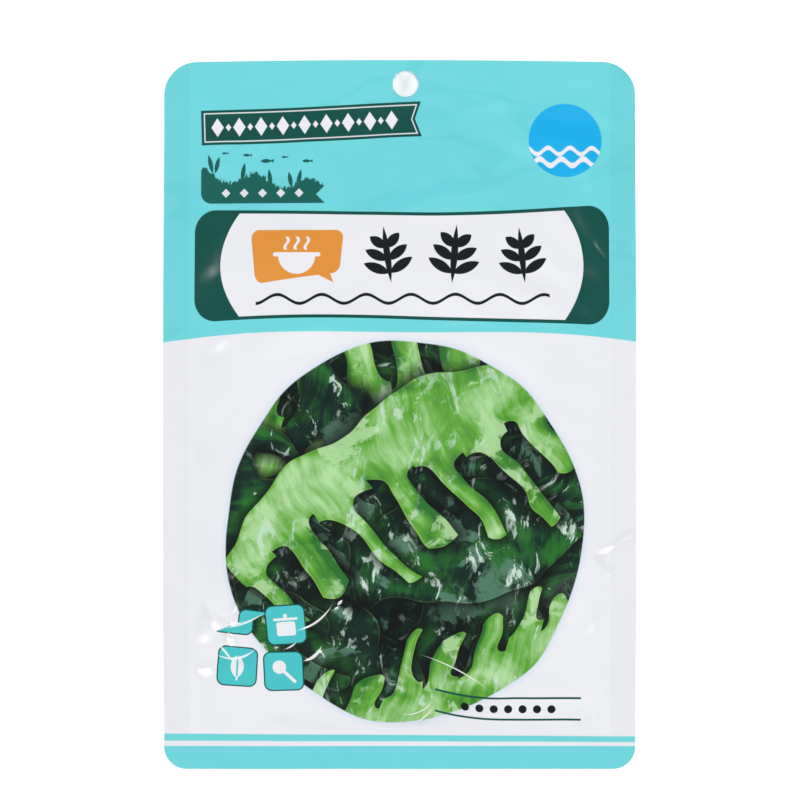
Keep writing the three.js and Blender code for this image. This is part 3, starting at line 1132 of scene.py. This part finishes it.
def sampled(heights, x, y):
    # heights of the films' coarse grid at any place of the flat pouch's filled part
    rows, columns = heights.shape
    r = (y / halfLength + 1) / 2 * (rows - 1)
    c = (x / halfWidth + 1) / 2 * (columns - 1)
    low, left = r.astype(int), c.astype(int)
    r, c = r - low, c - left
    near = heights[low, left] * (1 - c) + heights[low, left + 1] * c
    far = heights[low + 1, left] * (1 - c) + heights[low + 1, left + 1] * c
    return near * (1 - r) + far * r


def makeFrond(which, floor, roof):
    # up one leg, round the fold and back down the other; every second frond is turned end for end
    stemEnd, foldY = filling["stemEnd"], filling["foldY"]
    leg = np.linspace(0, 1, filling["alongSteps"] + 1)
    turnPart = np.arange(1, filling["turnSteps"]) / filling["turnSteps"]
    share = np.concatenate([leg, np.ones(turnPart.size), leg[::-1]])[:, None]
    turn = math.pi * np.concatenate([leg * 0, turnPart, leg * 0 + 1])[:, None]
    lean = filling["lean"] * np.concatenate([leg * 0 - 1, turnPart * 0, leg * 0 + 1])[:, None]
    across = np.linspace(-1, 1, filling["acrossSteps"] + 1)[None, :]
    layers = filling["count"] * 2
    flip = 1 if which % 2 == 0 else -1
    centreY = (stemEnd + foldY) / 2
    along = stemEnd + (foldY - stemEnd) * share
    x = across * bladeHalf(share)
    fromFold = np.minimum(1, (foldY - along) / filling["lobeHalf"])
    y = centreY + flip * (along + lean * abs(x) * fromFold - centreY)
    low = sampled(floor, x, y) + filling["clearance"]
    room = sampled(roof, x, y) - filling["clearance"] - low
    alongWaves, acrossWaves, shift = filling["ruffleWaves"]
    ruffle = filling["ruffle"] * across ** 2
    ruffle = ruffle * np.cos(share * alongWaves + which * shift + across * acrossWaves) * (1 - np.sin(turn))
    thin = filling["edgeFill"] - filling["layerFill"]
    fill = filling["layerFill"] + thin * abs(across) ** filling["fillPower"]
    sheets = []
    for side in (-1, 1):
        reach = 0.5 / layers + (side * fill + ruffle) / layers
        middle = (2 * which + 1) / layers - np.cos(turn) * reach
        placeY = bowed(x, y + flip * np.sin(turn) * room * reach)
        sheets.append(np.stack([x, placeY, low + room * middle], -1))
    upper, lower = sheets if flip > 0 else sheets[::-1]
    lowerIndex = np.arange(lower[..., 0].size).reshape(lower.shape[:2])
    upperIndex = lowerIndex + lowerIndex.size
    whole = (0, lower.shape[0] - 1, 0, lower.shape[1] - 1)
    lowerRim, upperRim = loopOf(lowerIndex, *whole), loopOf(upperIndex, *whole)
    rim = np.stack([lowerRim, np.roll(lowerRim, -1), np.roll(upperRim, -1), upperRim], -1)
    faces = np.concatenate([quadsOf(upperIndex), quadsOf(lowerIndex)[:, ::-1], rim])
    points = np.concatenate([lower.reshape(-1, 3), upper.reshape(-1, 3)])
    return smoothPiece(f"frond_{which + 1}", points, faces.tolist())


def kelpMaterial():
    # mottled green from broad noise, bumps and uneven gloss from fine noise
    s = Shader("wet_kelp")
    place = s.add("ShaderNodeTexCoord", {}, [], "Object")
    broad = s.noise(place, 45.0, 4.0, 0.6)
    fine = s.noise(place, 260.0, 3.0)
    relief = {"Strength": 0.4, "Distance": mm, "Height": fine + broad}
    s.feed(s.surface, {
        "Base Color": s.ramp([(0.3, "kelpDark"), (0.55, "kelpMid"), (0.8, "kelpBright")], broad),
        "Roughness": 0.18 + fine * 0.2,
        "Normal": s.add("ShaderNodeBump", {}, relief, "Normal"),
        "Coat Weight": 0.4,
    })
    return s.material


# Floor, light and camera
studio = {
    "lens": 100.0,
    "sensor": 36.0,
    "seenHeight": 7 * mm,
    "world": 0.2,
    "floorSize": 6,
    "floorDrop": 0.2 * mm,
    "floorColour": (0.95, 0.95, 0.955, 1),
    "floorRoughness": 0.9,
    "softboxes": (
        ("softbox_head_left", (-1.1, 0.8, 0.8), (0.5, 0.4), 11, True),
        ("softbox_head_right", (1.1, 0.75, 0.75), (0.4, 0.4), 9, True),
        ("softbox_foot_left", (-0.95, -0.95, 0.75), (0.4, 0.4), 9, True),
        ("softbox_foot_right", (1.0, -0.9, 0.75), (0.4, 0.4), 9, True),
        ("softbox_top", (0.05, 0.0, 1.3), (0.5, 0.5), 11, False),
    ),
}


def areaLight(name, place, size, power, reflected):
    # a softbox that faces the middle of the pouch
    light = bpy.data.lights.new(name, "AREA")
    light.shape = "RECTANGLE"
    light.size, light.size_y = size
    light.energy = power
    lamp = linked(name, light)
    lamp.location = place
    lamp.rotation_euler = Vector(place).to_track_quat("Z", "Y").to_euler()
    lamp.visible_glossy = reflected


def makeStudio():
    # a pale floor under the pouch, a dim white sky and the softboxes
    bpy.context.scene.view_settings.view_transform = "Standard"
    floorPlace = (0, 0, -studio["floorDrop"])
    bpy.ops.mesh.primitive_plane_add(size=studio["floorSize"], location=floorPlace)
    floor = bpy.context.object
    floor.name = "floor"
    s = Shader("pale_floor")
    s.feed(s.surface, {"Base Color": studio["floorColour"], "Roughness": studio["floorRoughness"]})
    floor.data.materials.append(s.material)
    world = bpy.data.worlds.new("studio")
    world.use_nodes = True
    sky = world.node_tree.nodes["Background"].inputs
    sky["Color"].default_value = (1, 1, 1, 1)
    sky["Strength"].default_value = studio["world"]
    bpy.context.scene.world = world
    for softbox in studio["softboxes"]:
        areaLight(*softbox)


def makeCamera():
    # straight above the middle of the photograph's frame, as far off as its scale asks
    camera = bpy.data.cameras.new("camera")
    camera.lens = studio["lens"]
    camera.sensor_width = studio["sensor"]
    spanSeen = photo["framePixels"] / photo["pixelsPerMm"] * mm
    distance = spanSeen * studio["lens"] / studio["sensor"]
    x, y = (value * mm for value in atPhoto([photo["framePixels"] / 2] * 2))
    eye = linked("camera", camera)
    eye.location = (x, y, studio["seenHeight"] + distance)
    bpy.context.scene.camera = eye


makeStudio()
makeCamera()
report("studio ready")

frontWeb, backWeb, overBottom, underTop = makeFilms()
report("films meshed")
floor, roof = -smallest(-overBottom, 1), smallest(underTop, 1)
kelp = [kelpMaterial()]
pieceFacts = [
    (frontWeb, "front_film", "film_front", frontMaterials()),
    (backWeb, "back_film", "film_back", backMaterial()),
]
for which in range(filling["count"]):
    pieceFacts.append((makeFrond(which, floor, roof), f"kelp_frond_{which + 1}", "kelp", kelp))
for piece, node, slotName, materials in pieceFacts:
    for material in materials:
        piece.data.materials.append(material)
    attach(piece, "root")
    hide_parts(node)
report("pieces made")
